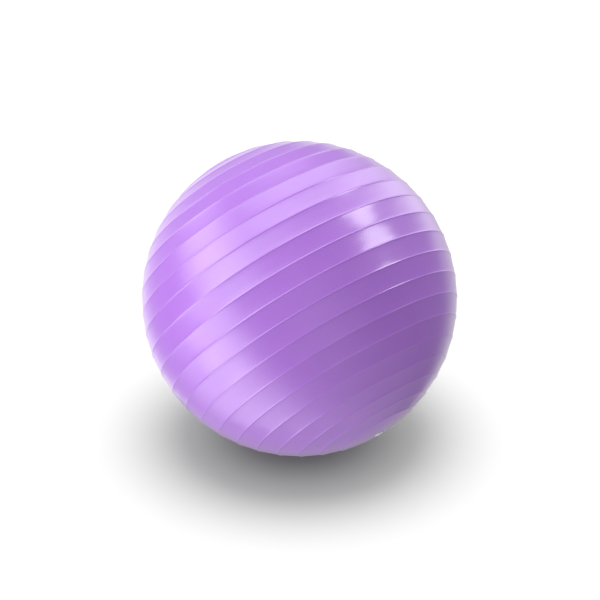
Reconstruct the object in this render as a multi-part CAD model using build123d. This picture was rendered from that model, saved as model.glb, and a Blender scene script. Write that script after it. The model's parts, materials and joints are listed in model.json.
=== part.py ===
"""Ribbed inflatable exercise ball: a hollow vinyl skin, the valve seat bonded inside it and its plug.

Every piece is turned about the polar axis, which runs out through the valve. Each is drawn as a half section
(distance from the axis, height along the axis) with the ball's centre at 0, 0, and then laid down as the ball
rests on a floor: origin at the ball's centre, +Z up, the valve towards +X and below the middle.
"""

import os
from math import asin, cos, degrees, isclose, radians, sin, sqrt

from build123d import *

# --- Ball ---------------------------------------------------------------------------------------------------
ball_diameter = 650.0  # over the crests of the rings
skin_wall = 0.9
steps_pole_to_pole = 24  # equal angles, with a ring at each step
smooth_steps = 2  # steps beside each pole that stay a plain dome, with no ring
ring_width = 5.2  # across the foot of a ring
ring_height = 0.6  # crest above the corner where two bands meet

# --- Valve seat ---------------------------------------------------------------------------------------------
bore_radius = 4.8
bore_chamfer = 0.7
seat_floor_depth = 0.5  # floor that the plug's head rests on, below the skin's inner face
pad_rim_width = 8.0  # bonded ring outside the opening
pad_thickness = 2.2  # at the sleeve
pad_edge_thickness = 0.8
sleeve_wall = 2.4
sleeve_length = 22.0  # below the seat's floor
sleeve_fillet = 1.5

# --- Plug ---------------------------------------------------------------------------------------------------
head_radius = 9.0
head_thickness = 2.4
head_rounding = 0.8
head_side_gap = 1.2  # between the head and the opening in the skin
head_seat_gap = 0.05  # under the head, at rest
dish_radius = 5.4
dish_depth = 0.7
core_radius = 2.0  # moulded hole down the middle of the plug
core_depth = 15.0
plug_clearance = 0.08  # radial, in the bore
land_length = 4.0  # full-diameter stretch under the head
groove_depth = 0.7  # between the barbs
barb_count = 3
barb_pitch = 4.6
barb_crest = 0.8  # flat on top of a barb
barb_drop = 0.5  # length of the steep side, towards the head
nose_length = 3.4
nose_radius = 2.4  # at the plug's end
nose_rounding = 0.9

# --- Resting pose -------------------------------------------------------------------------------------------
rest_step = 6.5  # the ball lies on the band between this pair of rings, counted from the valve

# --- Worked out ---------------------------------------------------------------------------------------------
step_angle = 180.0 / steps_pole_to_pole
corner_radius = ball_diameter / 2 - ring_height
inner_radius = corner_radius - skin_wall
ring_angles = [step_angle * i for i in range(smooth_steps, steps_pole_to_pole - smooth_steps + 1)]
foot_angle = degrees(ring_width / 2 / corner_radius)  # half a ring's foot, seen from the ball's centre

opening_radius = head_radius + head_side_gap
pad_radius = opening_radius + pad_rim_width
sleeve_radius = bore_radius + sleeve_wall

shank_radius = bore_radius - plug_clearance
groove_radius = shank_radius - groove_depth
shank_length = land_length + barb_count * barb_pitch + nose_length


def on_sphere(radius, angle):
    """Point of the half section on a sphere about the ball's centre, at an angle from the valve's pole."""
    return Vector(radius * sin(radians(angle)), 0, radius * cos(radians(angle)))


def height_on_sphere(radius, distance):
    """Height along the axis of a sphere's surface at a distance from the axis."""
    return sqrt(radius**2 - distance**2)


seat_floor = height_on_sphere(inner_radius, opening_radius) - seat_floor_depth
head_underside = seat_floor + head_seat_gap
head_top = head_underside + head_thickness
plug_end = head_underside - shank_length


def turned(edges):
    """Solid turned about the polar axis from the edges of a closed half section."""
    return revolve(make_face(edges), Axis.Z, 360)


def open_path(points):
    """Straight edges through points given as (distance from the axis, height)."""
    places = [Vector(distance, 0, height) for distance, height in points]
    return [Line(a, b) for a, b in zip(places, places[1:])]


def laid_down(shape):
    """Turns the polar axis from +Z to where it points as the ball rests."""
    return Rot(Y=180.0 - rest_step * step_angle) * shape


def ring_feet(index):
    """The two points where a ring's foot meets the surface, on the valve side and on the blind side."""
    angle = ring_angles[index]
    corner = on_sphere(corner_radius, angle)
    if index == 0:
        before = on_sphere(corner_radius, angle - foot_angle)
    else:
        previous = on_sphere(corner_radius, ring_angles[index - 1])
        before = corner + (previous - corner).normalized() * ring_width / 2
    if index == len(ring_angles) - 1:
        after = on_sphere(corner_radius, angle + foot_angle)
    else:
        following = on_sphere(corner_radius, ring_angles[index + 1])
        after = corner + (following - corner).normalized() * ring_width / 2
    return before, after


def dome_arc(radius, start_angle, end_angle):
    """Arc of a pole's dome between two angles from the valve's pole."""
    middle = (start_angle + end_angle) / 2
    return ThreePointArc(
        on_sphere(radius, start_angle), on_sphere(radius, middle), on_sphere(radius, end_angle)
    )


def outer_edges():
    """Outside of the skin: a dome, flat cone bands with a rounded ring at each corner, and a dome."""
    opening_angle = degrees(asin(opening_radius / corner_radius))
    edges = [dome_arc(corner_radius, opening_angle, ring_angles[0] - foot_angle)]
    for index, angle in enumerate(ring_angles):
        before, after = ring_feet(index)
        crest = on_sphere(corner_radius + ring_height, angle)
        if index:
            edges.append(Line(edges[-1] @ 1, before))
        edges.append(ThreePointArc(before, crest, after))
    edges.append(dome_arc(corner_radius, ring_angles[-1] + foot_angle, 180.0))
    return edges


def inner_edges():
    """Inside of the skin, from the blind pole back to the opening."""
    opening_angle = degrees(asin(opening_radius / inner_radius))
    corners = [on_sphere(inner_radius, angle) for angle in reversed(ring_angles)]
    edges = [dome_arc(inner_radius, 180.0, ring_angles[-1])]
    edges += [Line(a, b) for a, b in zip(corners, corners[1:])]
    edges.append(dome_arc(inner_radius, ring_angles[0], opening_angle))
    return edges


def ball_skin():
    """The seamless hollow ball, open only at the valve."""
    outer = outer_edges()
    inner = inner_edges()
    blind_pole = Line(outer[-1] @ 1, inner[0] @ 0)
    opening_edge = Line(inner[-1] @ 1, outer[0] @ 0)
    return turned(outer + [blind_pole] + inner + [opening_edge])


def valve_seat():
    """Pad bonded to the skin's inside, with the recess for the plug's head and a sleeve around the bore."""
    inside = height_on_sphere(inner_radius, opening_radius)
    rim = height_on_sphere(inner_radius, pad_radius)
    opening_angle = degrees(asin(opening_radius / inner_radius))
    rim_angle = degrees(asin(pad_radius / inner_radius))
    recess = open_path(
        [
            (bore_radius, seat_floor - bore_chamfer),
            (bore_radius + bore_chamfer, seat_floor),
            (opening_radius, seat_floor),
            (opening_radius, inside),
        ]
    )
    bond = dome_arc(inner_radius, opening_angle, rim_angle)
    pad_underside = seat_floor - pad_thickness
    sleeve_end = seat_floor - sleeve_length
    underside = open_path(
        [
            (pad_radius, rim),
            (pad_radius, rim - pad_edge_thickness),
            (sleeve_radius + sleeve_fillet, pad_underside),
            (sleeve_radius, pad_underside - sleeve_fillet),
            (sleeve_radius, sleeve_end),
            (bore_radius, sleeve_end),
            (bore_radius, seat_floor - bore_chamfer),
        ]
    )
    return turned(recess + [bond] + underside)


def shank_points():
    """Outside of the plug's shank, from under the head to the start of its rounded end."""
    land_end = head_underside - land_length
    points = [(shank_radius, head_underside), (shank_radius, land_end)]
    for barb in range(barb_count):
        top = land_end - barb * barb_pitch
        crest_start = top - barb_pitch / 2
        points += [
            (groove_radius, top - barb_drop),
            (groove_radius, crest_start),
            (shank_radius, crest_start - barb_drop),
            (shank_radius, crest_start - barb_drop - barb_crest),
        ]
    nose_start = land_end - barb_count * barb_pitch
    points.append((groove_radius, nose_start))
    points.append((nose_radius, plug_end))
    return points


def circles_at(shape, radius, height):
    """Circular edges of a shape, picked by their radius and their height along the axis."""
    circles = shape.edges().filter_by(GeomType.CIRCLE)
    return [e for e in circles if isclose(e.radius, radius) and isclose(e.center().Z, height)]


def valve_plug():
    """Stopper with a round dished head, a barbed shank and a moulded hole down its middle."""
    points = [(0, head_top - core_depth), (core_radius, head_top - core_depth)]
    points += [(core_radius, head_top - dish_depth), (dish_radius, head_top)]
    points += [(head_radius, head_top), (head_radius, head_underside)]
    points += shank_points()
    points += [(0, plug_end), (0, head_top - core_depth)]
    body = turned(open_path(points))
    body = fillet(circles_at(body, head_radius, head_top), head_rounding)
    return fillet(circles_at(body, nose_radius, plug_end), nose_rounding)


def main():
    os.makedirs("parts", exist_ok=True)
    pieces = {"ball_skin": ball_skin(), "valve_seat": valve_seat(), "valve_plug": valve_plug()}
    for name, shape in pieces.items():
        export_step(laid_down(shape), f"parts/{name}.step")


main()
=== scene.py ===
"""Looks of the ribbed exercise ball: fine meshes and finishes for the skin, the valve seat and the plug.

Each piece is turned about the polar axis, which runs from the ball's centre out through the valve. A profile
is a list of (distance from the axis, height along the axis) in metres. The ball's radius, the axis, the
floor and the plug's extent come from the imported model, and the other sizes are named below.
"""

import json
from math import asin, atan, cos, pi, radians, sin, sqrt, tan

import bpy
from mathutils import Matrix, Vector


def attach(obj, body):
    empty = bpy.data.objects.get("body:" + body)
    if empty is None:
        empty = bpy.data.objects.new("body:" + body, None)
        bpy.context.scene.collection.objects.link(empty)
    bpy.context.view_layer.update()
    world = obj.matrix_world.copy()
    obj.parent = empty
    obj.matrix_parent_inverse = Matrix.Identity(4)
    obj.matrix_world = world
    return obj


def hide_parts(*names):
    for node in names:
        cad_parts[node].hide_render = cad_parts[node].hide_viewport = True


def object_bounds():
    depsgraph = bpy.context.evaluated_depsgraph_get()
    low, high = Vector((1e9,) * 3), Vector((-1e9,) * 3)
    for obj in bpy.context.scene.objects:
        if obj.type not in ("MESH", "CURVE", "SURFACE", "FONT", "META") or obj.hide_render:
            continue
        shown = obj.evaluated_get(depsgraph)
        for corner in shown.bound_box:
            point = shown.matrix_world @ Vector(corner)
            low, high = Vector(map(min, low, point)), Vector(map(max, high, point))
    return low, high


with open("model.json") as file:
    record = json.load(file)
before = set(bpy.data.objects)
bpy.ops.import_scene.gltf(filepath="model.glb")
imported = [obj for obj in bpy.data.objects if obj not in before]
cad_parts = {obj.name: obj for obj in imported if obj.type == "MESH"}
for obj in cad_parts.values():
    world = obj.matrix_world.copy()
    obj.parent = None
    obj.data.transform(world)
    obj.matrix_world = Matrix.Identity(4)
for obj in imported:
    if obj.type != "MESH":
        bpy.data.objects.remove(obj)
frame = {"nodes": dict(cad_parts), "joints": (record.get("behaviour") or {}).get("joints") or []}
cad_low, cad_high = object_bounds()

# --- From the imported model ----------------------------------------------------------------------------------
VALVE_AXIS = Vector(frame["joints"][0]["axis"]).normalized()
BALL_RADIUS = (cad_high.y - cad_low.y) / 2
FLOOR_HEIGHT = cad_low.z

# --- Ball ---------------------------------------------------------------------------------------------------
STEP = radians(7.5)  # from ring to ring, seen from the ball's centre
FIRST_RING, LAST_RING = 2, 22  # counted in steps from the valve's pole
RING_HEIGHT = 0.0006
RING_HALF_WIDTH = 0.0026
RING_CUTS = 10
BAND_CUTS = 3
DOME_CUTS = 18
SKIN_WALL = 0.0009
TURNS = 280  # segments about the axis

# --- Valve seat and plug ------------------------------------------------------------------------------------
OPENING_RADIUS = 0.0102
LIP_RADIUS = 0.0005
BORE_RADIUS = 0.0048
SEAT_DEPTH = 0.0005  # of the recess's floor below the skin's inside
PAD_RIM = 0.0080
PAD_THICKNESS = 0.0022
PAD_EDGE = 0.0008
SLEEVE_WALL = 0.0024
SLEEVE_LENGTH = 0.0220
HEAD_THICKNESS = 0.0024
DISH_RADIUS = 0.0056
DISH_DEPTH = 0.0007
CORE_RADIUS = 0.0020
CORE_DEPTH = 0.0150
PLUG_CLEARANCE = 0.00008
LAND_LENGTH = 0.0040
GROOVE_DEPTH = 0.0007
BARB_COUNT = 3
BARB_PITCH = 0.0046
BARB_CREST = 0.0008
BARB_DROP = 0.0005
NOSE_RADIUS = 0.0024
NOSE_ROUNDING = 0.0009
SMALL_TURNS = 96
CRISP_EDGE = 0.0003  # radii of the moulded edges
SOFT_EDGE = 0.0006
BARB_EDGE = 0.0002
LAND_EDGE = 0.00015  # where the plain land ends
NECK_EDGE = 0.0004  # where the last groove meets the rounded end
BORE_EDGE = 0.0007
SLEEVE_FILLET = 0.0015
HEAD_ROUNDING = 0.0008
DISH_ROUNDING = 0.0012

# --- Camera -------------------------------------------------------------------------------------------------
CAMERA_AZIMUTH = radians(48.57)
CAMERA_ELEVATION = radians(27.5)
LENS = 100.0
SENSOR = 36.0
BALL_SHARE = 0.5267  # of the picture's width that the ball takes
SHIFT = 0.0008, -0.0022  # of the frame, sideways and up

# --- Stage and light ----------------------------------------------------------------------------------------
STAGE_RADIUS = 30.0
FLOOR_ALBEDO = 0.04  # low, and its lamps are strong, so that the ball's colour doesn't tint its shadow
FLOOR_GLOW = 0.08  # keeps the shadow's darkest part from going black
PAINTED_SHADOW_GLOW = 0.2, 0.5  # glow of the painted shadow that gloss sees on the near floor, where the ball stands and one radius out
WORLD_GLOW = 0.21, 0.27  # from below, and from the sides and above
LIGHT_DISTANCE = 6.0


def linear(red, green, blue):
    """Colour for a shader from 0 to 255 values as a screen shows them."""
    return tuple(((c / 255 + 0.055) / 1.055) ** 2.4 for c in (red, green, blue)) + (1.0,)


# --- Meshes turned about the polar axis ---------------------------------------------------------------------
def turned(name, profile, turns):
    """Mesh object turned from a closed profile. Points on the axis become one vertex."""
    to_axis = VALVE_AXIS.to_track_quat("Z", "Y").to_matrix()
    vertices, rings = [], []
    for distance, height in profile:
        start = len(vertices)
        if distance < 1e-7:
            vertices.append(to_axis @ Vector((0, 0, height)))
            rings.append([start] * turns)
            continue
        for k in range(turns):
            angle = 2 * pi * k / turns
            vertices.append(to_axis @ Vector((distance * cos(angle), distance * sin(angle), height)))
        rings.append(list(range(start, start + turns)))
    faces = []
    for ring, following in zip(rings, rings[1:] + rings[:1]):
        for k in range(turns):
            j = (k + 1) % turns
            corners = [ring[k], ring[j], following[j], following[k]]
            face = [c for i, c in enumerate(corners) if c != corners[i - 1]]
            if len(face) > 2:
                faces.append(face)
    mesh = bpy.data.meshes.new(name)
    mesh.from_pydata(vertices, [], faces)
    mesh.validate()
    mesh.shade_smooth()
    piece = bpy.data.objects.new(name, mesh)
    bpy.context.scene.collection.objects.link(piece)
    return piece


def spread(start, end, cuts):
    """Evenly spaced values from start up to, and without, end."""
    return [start + (end - start) * i / cuts for i in range(cuts)]


def along_axis(node):
    """A CAD node's lowest and highest place along the polar axis, and its largest distance from it."""
    places = [v.co for v in frame["nodes"][node].data.vertices]
    heights = [p.dot(VALVE_AXIS) for p in places]
    distances = [(p - p.dot(VALVE_AXIS) * VALVE_AXIS).length for p in places]
    return min(heights), max(heights), max(distances)


def rounded(corners, cuts=5):
    """Closed profile from (distance, height, radius) corners, each one turned into an arc of that radius."""
    profile = []
    for i, (distance, height, radius) in enumerate(corners):
        corner = Vector((distance, height))
        if radius == 0:
            profile.append(tuple(corner))
            continue
        before = (Vector(corners[i - 1][:2]) - corner).normalized()
        after = (Vector(corners[(i + 1) % len(corners)][:2]) - corner).normalized()
        half = before.angle(after) / 2
        centre = corner + (before + after).normalized() * (radius / sin(half))
        start = (corner + before * (radius / tan(half)) - centre).normalized()
        end = (corner + after * (radius / tan(half)) - centre).normalized()
        for share in spread(0, 1, cuts) + [1]:
            profile.append(tuple(centre + start.slerp(end, share) * radius))
    return profile


# --- Skin ---------------------------------------------------------------------------------------------------
CORNER_RADIUS = BALL_RADIUS - RING_HEIGHT
INNER_RADIUS = CORNER_RADIUS - SKIN_WALL


def band_radius(angle):
    """Distance from the centre of a flat band, or of a pole's dome, at an angle from the valve's pole."""
    if angle < FIRST_RING * STEP or angle > LAST_RING * STEP:
        return CORNER_RADIUS
    from_middle = angle % STEP - STEP / 2
    return CORNER_RADIUS * cos(STEP / 2) / cos(from_middle)


def ring_radius(ring, offset):
    """Distance from the centre across a ring: a rounded crest whose feet run smoothly into its bands."""
    sides = 1 if ring in (FIRST_RING, LAST_RING) else 2
    bend = tan(STEP / 2) * sides / 2
    softened = (offset**2 + RING_HALF_WIDTH**2) / (2 * RING_HALF_WIDTH) - abs(offset)
    crest = RING_HEIGHT + bend * RING_HALF_WIDTH / 2
    angle = ring * STEP + offset / CORNER_RADIUS
    return band_radius(angle) - bend * softened + crest * cos(pi / 2 * offset / RING_HALF_WIDTH) ** 2


def skin_profile():
    """Outside of the skin from the valve to the blind pole, then its inside back to the opening."""
    foot = RING_HALF_WIDTH / CORNER_RADIUS
    lip_turn = asin((OPENING_RADIUS + LIP_RADIUS) / CORNER_RADIUS)
    outside = []
    for turn in spread(0, pi / 2, 5):
        distance = OPENING_RADIUS + LIP_RADIUS * (1 - cos(turn))
        height = CORNER_RADIUS * cos(lip_turn) - LIP_RADIUS * (1 - sin(turn))
        outside.append((distance, height))
    places = [(a, CORNER_RADIUS) for a in spread(lip_turn, FIRST_RING * STEP - foot, DOME_CUTS)]
    for ring in range(FIRST_RING, LAST_RING + 1):
        for offset in spread(-RING_HALF_WIDTH, RING_HALF_WIDTH, RING_CUTS):
            places.append((ring * STEP + offset / CORNER_RADIUS, ring_radius(ring, offset)))
        if ring < LAST_RING:
            start, end = ring * STEP + foot, (ring + 1) * STEP - foot
            places += [(a, band_radius(a)) for a in spread(start, end, BAND_CUTS)]
    places += [(a, CORNER_RADIUS) for a in spread(LAST_RING * STEP + foot, pi, DOME_CUTS)]
    outside += [(r * sin(a), r * cos(a)) for a, r in places]
    outside.append((0, -CORNER_RADIUS))
    inside = [(0, -INNER_RADIUS)]
    for step in range(LAST_RING + 1, 0, -1):
        inside.append((INNER_RADIUS * sin(step * STEP), INNER_RADIUS * cos(step * STEP)))
    inside.append((OPENING_RADIUS, sqrt(INNER_RADIUS**2 - OPENING_RADIUS**2)))
    return outside + inside


# --- Valve seat and plug ------------------------------------------------------------------------------------
SEAT_FLOOR = sqrt(INNER_RADIUS**2 - OPENING_RADIUS**2) - SEAT_DEPTH


def seat_profile():
    """Pad with the recess for the plug's head on one side and the sleeve round the bore on the other."""
    rim = OPENING_RADIUS + PAD_RIM
    sleeve = BORE_RADIUS + SLEEVE_WALL
    under = SEAT_FLOOR - PAD_THICKNESS
    end = SEAT_FLOOR - SLEEVE_LENGTH
    bond_start = asin(OPENING_RADIUS / INNER_RADIUS)
    bond_end = asin(rim / INNER_RADIUS)
    corners = [(BORE_RADIUS, SEAT_FLOOR, BORE_EDGE), (OPENING_RADIUS, SEAT_FLOOR, CRISP_EDGE)]
    for turn in spread(bond_start, bond_end, 6) + [bond_end]:
        corners.append((INNER_RADIUS * sin(turn), INNER_RADIUS * cos(turn), 0))
    corners.append((rim, INNER_RADIUS * cos(bond_end) - PAD_EDGE, CRISP_EDGE))
    corners.append((sleeve, under, SLEEVE_FILLET))
    corners += [(sleeve, end, SOFT_EDGE), (BORE_RADIUS, end, SOFT_EDGE)]
    return rounded(corners)


def plug_profile():
    """Dished head with a moulded hole, a plain land under it, barbs and a rounded end."""
    low, top, head = along_axis("valve_plug")
    under = top - HEAD_THICKNESS
    shank = BORE_RADIUS - PLUG_CLEARANCE
    groove = shank - GROOVE_DEPTH
    corners = [(0, top - CORE_DEPTH, 0), (CORE_RADIUS, top - CORE_DEPTH, SOFT_EDGE)]
    corners += [(CORE_RADIUS, top - DISH_DEPTH, CRISP_EDGE), (DISH_RADIUS, top, DISH_ROUNDING)]
    corners += [(head, top, HEAD_ROUNDING), (head, under, CRISP_EDGE), (shank, under, CRISP_EDGE)]
    barb = under - LAND_LENGTH
    corners.append((shank, barb, LAND_EDGE))
    for _ in range(BARB_COUNT):
        crest = barb - BARB_PITCH / 2
        crest_start = crest - BARB_DROP
        corners += [(groove, barb - BARB_DROP, BARB_EDGE), (groove, crest, BARB_EDGE)]
        corners += [(shank, crest_start, BARB_EDGE), (shank, crest_start - BARB_CREST, BARB_EDGE)]
        barb -= BARB_PITCH
    corners += [(groove, barb, NECK_EDGE), (NOSE_RADIUS, low, NOSE_ROUNDING), (0, low, 0)]
    return rounded(corners)


# --- Materials ----------------------------------------------------------------------------------------------
def new_material(name):
    """Material with its node tree and its shader."""
    material = bpy.data.materials.new(name)
    material.use_nodes = True
    tree = material.node_tree
    return material, tree, tree.nodes["Principled BSDF"]


def add_node(tree, kind, **values):
    """Node with its input sockets set by name, spaces written as underscores."""
    node = tree.nodes.new(kind)
    for key, value in values.items():
        node.inputs[key.replace("_", " ")].default_value = value
    return node


def vinyl():
    """Soft lilac vinyl: satin, a little waxy, with a fine pressed grain and slightly uneven gloss."""
    material, tree, shader = new_material("lilac_vinyl")
    place = tree.nodes.new("ShaderNodeTexCoord")
    grain = add_node(tree, "ShaderNodeTexNoise", Scale=330.0, Detail=2.0, Roughness=0.6)
    cloud = add_node(tree, "ShaderNodeTexNoise", Scale=9.0, Detail=3.0, Roughness=0.55)
    tree.links.new(place.outputs["Object"], grain.inputs["Vector"])
    tree.links.new(place.outputs["Object"], cloud.inputs["Vector"])

    tint = tree.nodes.new("ShaderNodeValToRGB")
    tint.color_ramp.elements[0].position = 0.35
    tint.color_ramp.elements[0].color = linear(169, 106, 216)
    tint.color_ramp.elements[1].position = 0.65
    tint.color_ramp.elements[1].color = linear(172, 109, 218)
    tree.links.new(cloud.outputs["Fac"], tint.inputs["Fac"])
    tree.links.new(tint.outputs["Color"], shader.inputs["Base Color"])

    gloss = add_node(tree, "ShaderNodeMapRange", From_Min=0.3, From_Max=0.7, To_Min=0.39, To_Max=0.45)
    tree.links.new(cloud.outputs["Fac"], gloss.inputs["Value"])
    tree.links.new(gloss.outputs["Result"], shader.inputs["Roughness"])

    bump = add_node(tree, "ShaderNodeBump", Strength=1.0, Distance=0.0005)
    tree.links.new(grain.outputs["Fac"], bump.inputs["Height"])
    tree.links.new(bump.outputs["Normal"], shader.inputs["Normal"])
    shader.inputs["IOR"].default_value = 1.6
    shader.inputs["Coat Weight"].default_value = 1.0
    shader.inputs["Coat Roughness"].default_value = 0.16
    shader.inputs["Coat IOR"].default_value = 1.6
    return material


def white_plastic():
    """Smooth white moulded plastic with faint flow marks."""
    material, tree, shader = new_material("white_plastic")
    place = tree.nodes.new("ShaderNodeTexCoord")
    flow = add_node(tree, "ShaderNodeTexNoise", Scale=260.0, Detail=2.0, Roughness=0.5)
    tree.links.new(place.outputs["Object"], flow.inputs["Vector"])
    tone = tree.nodes.new("ShaderNodeValToRGB")
    tone.color_ramp.elements[0].color = linear(238, 238, 240)
    tone.color_ramp.elements[1].color = linear(246, 246, 247)
    tree.links.new(flow.outputs["Fac"], tone.inputs["Fac"])
    tree.links.new(tone.outputs["Color"], shader.inputs["Base Color"])
    gloss = add_node(tree, "ShaderNodeMapRange", From_Min=0.3, From_Max=0.7, To_Min=0.26, To_Max=0.36)
    tree.links.new(flow.outputs["Fac"], gloss.inputs["Value"])
    tree.links.new(gloss.outputs["Result"], shader.inputs["Roughness"])
    bump = add_node(tree, "ShaderNodeBump", Strength=0.1, Distance=0.0001)
    tree.links.new(flow.outputs["Fac"], bump.inputs["Height"])
    tree.links.new(bump.outputs["Normal"], shader.inputs["Normal"])
    return material


def stage_paint(name, albedo, glow):
    """Matt paint of the stage, with a glow of its own."""
    material, tree, shader = new_material(name)
    shader.inputs["Base Color"].default_value = (albedo, albedo, albedo, 1.0)
    shader.inputs["Roughness"].default_value = 1.0
    shader.inputs["Specular IOR Level"].default_value = 0.0
    shader.inputs["Emission Color"].default_value = (1.0, 1.0, 1.0, 1.0)
    shader.inputs["Emission Strength"].default_value = glow
    return material


# --- Studio -------------------------------------------------------------------------------------------------
def only_for_camera(piece):
    """The camera sees the piece, and the ball's light and reflections pass it by."""
    piece.visible_diffuse = False
    piece.visible_glossy = False
    piece.visible_transmission = False
    piece.visible_shadow = False


def make_floor():
    """Pale floor under the ball, out to the backdrop."""
    mesh = bpy.data.meshes.new("studio_floor")
    corners = [(-STAGE_RADIUS, -STAGE_RADIUS), (STAGE_RADIUS, -STAGE_RADIUS)]
    corners += [(STAGE_RADIUS, STAGE_RADIUS), (-STAGE_RADIUS, STAGE_RADIUS)]
    mesh.from_pydata([(x, y, FLOOR_HEIGHT) for x, y in corners], [], [(0, 1, 2, 3)])
    floor = bpy.data.objects.new("studio_floor", mesh)
    mesh.materials.append(stage_paint("studio_floor", FLOOR_ALBEDO, FLOOR_GLOW))
    bpy.context.scene.collection.objects.link(floor)
    only_for_camera(floor)
    return floor


def make_painted_floor_shadow():
    """Painted reflection of the floor close to the ball, for its gloss only: a glowing disc with a painted
    shadow, dark where the ball stands and pale further out.
    """
    sides = 64
    mesh = bpy.data.meshes.new("studio_painted_floor_shadow")
    turns = [2 * pi * k / sides for k in range(sides)]
    corners = [(BALL_RADIUS * cos(t), BALL_RADIUS * sin(t), FLOOR_HEIGHT) for t in turns]
    mesh.from_pydata(corners, [], [tuple(range(sides))])
    material, tree, shader = new_material("studio_painted_floor_shadow")
    shader.inputs["Base Color"].default_value = (0.0, 0.0, 0.0, 1.0)
    shader.inputs["Specular IOR Level"].default_value = 0.0
    shader.inputs["Emission Color"].default_value = (1.0, 1.0, 1.0, 1.0)
    place = tree.nodes.new("ShaderNodeNewGeometry")
    distance = tree.nodes.new("ShaderNodeVectorMath")
    distance.operation = "DISTANCE"
    distance.inputs[1].default_value = (0.0, 0.0, FLOOR_HEIGHT)
    dark, pale = PAINTED_SHADOW_GLOW
    # painted shadow: the disc's glow rises from dark where the ball stands to pale one radius out
    glow = add_node(tree, "ShaderNodeMapRange", From_Max=BALL_RADIUS, To_Min=dark, To_Max=pale)
    tree.links.new(place.outputs["Position"], distance.inputs[0])
    tree.links.new(distance.outputs["Value"], glow.inputs["Value"])
    tree.links.new(glow.outputs["Result"], shader.inputs["Emission Strength"])
    mesh.materials.append(material)
    painted_shadow_disc = bpy.data.objects.new("studio_painted_floor_shadow", mesh)
    bpy.context.scene.collection.objects.link(painted_shadow_disc)
    painted_shadow_disc.visible_camera = False
    painted_shadow_disc.visible_diffuse = False
    painted_shadow_disc.visible_transmission = False
    painted_shadow_disc.visible_shadow = False


def make_backdrop():
    """White half dome all round, so that a low view also ends in white."""
    rings, turns = 12, 48
    vertices = []
    for level in range(rings):
        height = FLOOR_HEIGHT + STAGE_RADIUS * sin(pi / 2 * level / rings)
        width = STAGE_RADIUS * cos(pi / 2 * level / rings)
        for k in range(turns):
            vertices.append((width * cos(2 * pi * k / turns), width * sin(2 * pi * k / turns), height))
    faces = []
    for level in range(rings - 1):
        for k in range(turns):
            j = (k + 1) % turns
            below, above = level * turns, (level + 1) * turns
            faces.append((below + k, below + j, above + j, above + k))
    faces.append(tuple(range((rings - 1) * turns, rings * turns)))
    mesh = bpy.data.meshes.new("studio_backdrop")
    mesh.from_pydata(vertices, [], faces)
    mesh.materials.append(stage_paint("studio_backdrop", 0.0, 1.0))
    backdrop = bpy.data.objects.new("studio_backdrop", mesh)
    bpy.context.scene.collection.objects.link(backdrop)
    only_for_camera(backdrop)


def towards(azimuth, elevation):
    level = cos(elevation)
    return Vector((sin(azimuth) * level, -cos(azimuth) * level, sin(elevation)))


def make_camera():
    """Camera far enough out for the ball to fill its share of the picture."""
    half_view = atan(SENSOR / 2 * BALL_SHARE / LENS)
    direction = towards(CAMERA_AZIMUTH, CAMERA_ELEVATION)
    camera = bpy.data.objects.new("camera", bpy.data.cameras.new("camera"))
    camera.data.lens = LENS
    camera.data.sensor_width = SENSOR
    camera.data.clip_end = 200.0
    camera.location = direction * BALL_RADIUS / sin(half_view)
    camera.rotation_euler = (-direction).to_track_quat("-Z", "Y").to_euler()
    camera.data.shift_x, camera.data.shift_y = SHIFT
    bpy.context.scene.collection.objects.link(camera)
    bpy.context.scene.camera = camera


def link_light(lamp, floor, state):
    """Lights only the floor (INCLUDE), or everything but the floor (EXCLUDE)."""
    receivers = bpy.data.collections.new(lamp.name + "_receivers")
    receivers.objects.link(floor)
    receivers.collection_objects[0].light_linking.link_state = state
    lamp.light_linking.receiver_collection = receivers


def feather(light, softness):
    """Fades a softbox from its middle out, as a lamp behind cloth does."""
    light.use_nodes = True
    tree = light.node_tree
    emission = tree.nodes["Emission"]
    place = tree.nodes.new("ShaderNodeNewGeometry")
    split = tree.nodes.new("ShaderNodeSeparateXYZ")
    tree.links.new(place.outputs["Parametric"], split.inputs["Vector"])
    fades = []
    for side in ("X", "Y"):
        centred = tree.nodes.new("ShaderNodeMath")
        centred.operation = "MULTIPLY_ADD"
        centred.inputs[1].default_value = 2.0
        centred.inputs[2].default_value = -1.0
        distance = tree.nodes.new("ShaderNodeMath")
        distance.operation = "ABSOLUTE"
        fade = add_node(tree, "ShaderNodeMapRange", To_Min=1.0, To_Max=0.0)
        fade.interpolation_type = "SMOOTHSTEP"
        fade.inputs["From Min"].default_value = (1 - softness) / (1 + softness)
        fade.inputs["From Max"].default_value = 1.0
        tree.links.new(split.outputs[side], centred.inputs[0])
        tree.links.new(centred.outputs[0], distance.inputs[0])
        tree.links.new(distance.outputs[0], fade.inputs["Value"])
        fades.append(fade)
    both = tree.nodes.new("ShaderNodeMath")
    both.operation = "MULTIPLY"
    tree.links.new(fades[0].outputs["Result"], both.inputs[0])
    tree.links.new(fades[1].outputs["Result"], both.inputs[1])
    tree.links.new(both.outputs[0], emission.inputs["Strength"])


def add_softbox(name, floor, azimuth, elevation, width, height, softness, radiance):
    """Rectangular light that faces the ball. Azimuth is counted from the camera. Angles are in degrees."""
    light = bpy.data.lights.new(name, "AREA")
    light.shape = "RECTANGLE"
    light.size = 2 * LIGHT_DISTANCE * tan(radians(width / 2)) * (1 + softness)
    light.size_y = 2 * LIGHT_DISTANCE * tan(radians(height / 2)) * (1 + softness)
    light.energy = radiance * pi * light.size * light.size_y
    feather(light, softness)
    box = bpy.data.objects.new(name, light)
    direction = towards(CAMERA_AZIMUTH + radians(azimuth), radians(elevation))
    box.location = direction * LIGHT_DISTANCE
    box.rotation_euler = (-direction).to_track_quat("-Z", "Y").to_euler()
    box.visible_camera = False
    bpy.context.scene.collection.objects.link(box)
    link_light(box, floor, "EXCLUDE")


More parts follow.
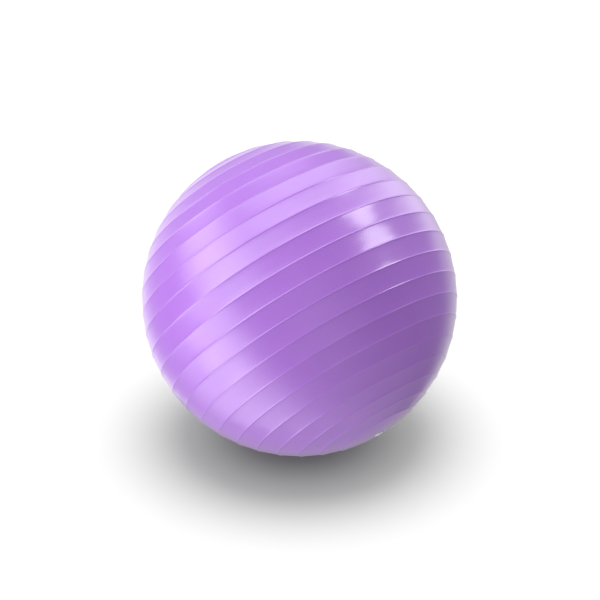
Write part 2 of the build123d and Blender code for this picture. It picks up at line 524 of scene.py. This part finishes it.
def add_overhead(name, floor, spread_angle, share):
    """Light from above for the floor and the ball's shadow on it. A share of 1 alone makes it white."""
    light = bpy.data.lights.new(name, "SUN")
    light.angle = radians(spread_angle)
    light.energy = share * pi / FLOOR_ALBEDO
    lamp = bpy.data.objects.new(name, light)
    lamp.location = (0, 0, LIGHT_DISTANCE)
    bpy.context.scene.collection.objects.link(lamp)
    link_light(lamp, floor, "INCLUDE")


def make_world():
    """Even white all round, a little dimmer from below."""
    world = bpy.data.worlds.new("studio")
    world.use_nodes = True
    tree = world.node_tree
    place = tree.nodes.new("ShaderNodeTexCoord")
    split = tree.nodes.new("ShaderNodeSeparateXYZ")
    below, above = WORLD_GLOW
    rise = add_node(tree, "ShaderNodeMapRange", From_Min=-0.7, From_Max=0.1, To_Min=below, To_Max=above)
    tree.links.new(place.outputs["Generated"], split.inputs["Vector"])
    tree.links.new(split.outputs["Z"], rise.inputs["Value"])
    tree.links.new(rise.outputs["Result"], tree.nodes["Background"].inputs["Strength"])
    tree.nodes["Background"].inputs["Color"].default_value = (1, 1, 1, 1)
    bpy.context.scene.world = world


def make_light(floor):
    """Softboxes end with azimuth, elevation, width, height, softness and radiance, angles in degrees."""
    make_world()
    add_overhead("overhead_core", floor, 34, 0.33)
    add_overhead("overhead_dome", floor, 115, 0.6)
    add_overhead("overhead_sky", floor, 180, 0.14)
    add_softbox("left_key", floor, -81, 30, 54, 31, 0.9, 3.55)
    add_softbox("left_floor_glow", floor, -53, -45, 49, 49, 1.0, 2.07)
    add_softbox("left_front", floor, -57, -10, 37, 40, 0.6, 2.5)
    add_softbox("right_key", floor, 96, 47, 24, 22, 0.4, 5.8)
    add_softbox("right_back", floor, 145, 25, 24, 45, 1.0, 1.78)
    add_softbox("top_back", floor, -130, 77, 90, 30, 1.0, 2.58)
    add_softbox("under_glow", floor, 38, -60, 70, 66, 1.0, 0.49)
    add_softbox("back_floor_glow", floor, 178, -21, 90, 54, 0.5, 0.5)
    add_softbox("front_fill", floor, 16, 10, 45, 48, 1.0, 0.45)
    add_softbox("left_back", floor, -150, 5, 50, 90, 1.0, 0.30)
    add_softbox("low_back", floor, -150, -50, 70, 50, 1.0, 0.2)


# --- Assembly -----------------------------------------------------------------------------------------------
def add_piece(name, profile, turns, material, body, node):
    """Turns a profile into a piece that stands for a CAD node and moves with its body."""
    piece = turned(name, profile, turns)
    piece.data.materials.append(material)
    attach(piece, body)
    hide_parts(node)


def main():
    make_camera()
    make_light(make_floor())
    # painted shadow of the ball on the floor, seen only in the ball's gloss
    make_painted_floor_shadow()
    make_backdrop()
    bpy.context.scene.view_settings.view_transform = "Standard"

    lilac = vinyl()
    white = white_plastic()

    add_piece("vinyl_skin", skin_profile(), TURNS, lilac, "ball", "ball_skin")
    add_piece("soft_valve_seat", seat_profile(), SMALL_TURNS, lilac, "ball", "valve_seat")
    add_piece("white_valve_plug", plug_profile(), SMALL_TURNS, white, "plug", "valve_plug")


main()
